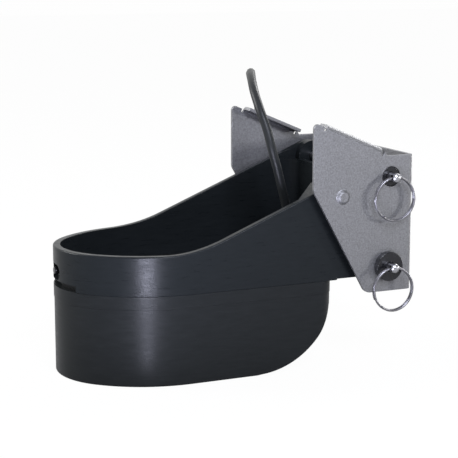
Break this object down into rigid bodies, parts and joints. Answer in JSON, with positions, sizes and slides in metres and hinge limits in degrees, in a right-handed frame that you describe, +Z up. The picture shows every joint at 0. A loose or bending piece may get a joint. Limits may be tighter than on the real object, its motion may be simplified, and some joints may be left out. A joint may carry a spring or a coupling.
{
  "type": "transom-mount sonar transducer",
  "caption": "Transom-mount sonar transducer: an acoustic block under an open moulded housing that kicks up on a hinge pin in a folded stainless bracket, with its cable coiled and plugged.",
  "frame": {"origin": "middle of the transducer and its bracket in plan, on the plane of the flat acoustic window", "axes": "+X towards the transom, +Y to starboard, +Z up; the flat acoustic window lies on z = 0"},
  "size_m": [0.238, 0.3232, 0.2002],
  "materials": {
    "housing_plastic": "moulded, satin",
    "urethane": "cast, satin",
    "cork_rubber": "cut cork and rubber",
    "piezo_ceramic": "fired and silvered",
    "board_laminate": "solder resist",
    "sensor_epoxy": "cast epoxy",
    "gland_rubber": "moulded, matt",
    "cable_jacket": "extruded, satin",
    "tie_nylon": "woven",
    "plug_plastic": "moulded",
    "contact_brass": "turned",
    "bracket_steel": "bead blasted",
    "pin_steel": "turned and polished",
    "bush_acetal": "turned",
    "ring_steel": "drawn wire, polished"
  },
  "bodies": {
    "transducer": {"housing": "housing_plastic", "acoustic_shell": "urethane", "isolation_block": "cork_rubber", "low_frequency_ceramics": "piezo_ceramic", "high_frequency_ceramic": "piezo_ceramic", "backing_pads": "cork_rubber", "terminal_board": "board_laminate", "potting_fill": "urethane", "temperature_sensor": "sensor_epoxy", "cable_gland": "gland_rubber", "cable": "cable_jacket", "cable_coil": "cable_jacket", "coil_ties": "tie_nylon", "cable_tail": "cable_jacket", "plug_body": "plug_plastic", "plug_collar": "plug_plastic", "plug_contacts": "contact_brass"},
    "bracket": {"bracket": "bracket_steel", "hinge_pin": "pin_steel", "latch_pin": "pin_steel", "hinge_bush_port": "bush_acetal", "hinge_bush_starboard": "bush_acetal", "latch_bush_port": "bush_acetal", "latch_bush_starboard": "bush_acetal"},
    "hinge_ring_port": {"hinge_ring_port": "ring_steel"},
    "hinge_ring_starboard": {"hinge_ring_starboard": "ring_steel"},
    "latch_ring_port": {"latch_ring_port": "ring_steel"},
    "latch_ring_starboard": {"latch_ring_starboard": "ring_steel"}
  },
  "joints": [
    {"name": "kick_up", "type": "hinge", "parent": "transducer", "child": "bracket", "pos_m": [0.101, 0, 0.133], "axis": [0, -1, 0], "range_deg": [0, 45]},
    {"name": "hinge_ring_port_swing", "type": "hinge", "parent": "bracket", "child": "hinge_ring_port", "pos_m": [0.101, -0.0735, 0.133], "axis": [-1, 0, 0], "range_deg": [0, 120]},
    {"name": "hinge_ring_starboard_swing", "type": "hinge", "parent": "bracket", "child": "hinge_ring_starboard", "pos_m": [0.101, 0.0735, 0.133], "axis": [1, 0, 0], "range_deg": [0, 120]},
    {"name": "latch_ring_port_swing", "type": "hinge", "parent": "bracket", "child": "latch_ring_port", "pos_m": [0.099, -0.077, 0.0705], "axis": [-1, 0, 0], "range_deg": [0, 120]},
    {"name": "latch_ring_starboard_swing", "type": "hinge", "parent": "bracket", "child": "latch_ring_starboard", "pos_m": [0.099, 0.077, 0.0705], "axis": [1, 0, 0], "range_deg": [0, 120]}
  ]
}
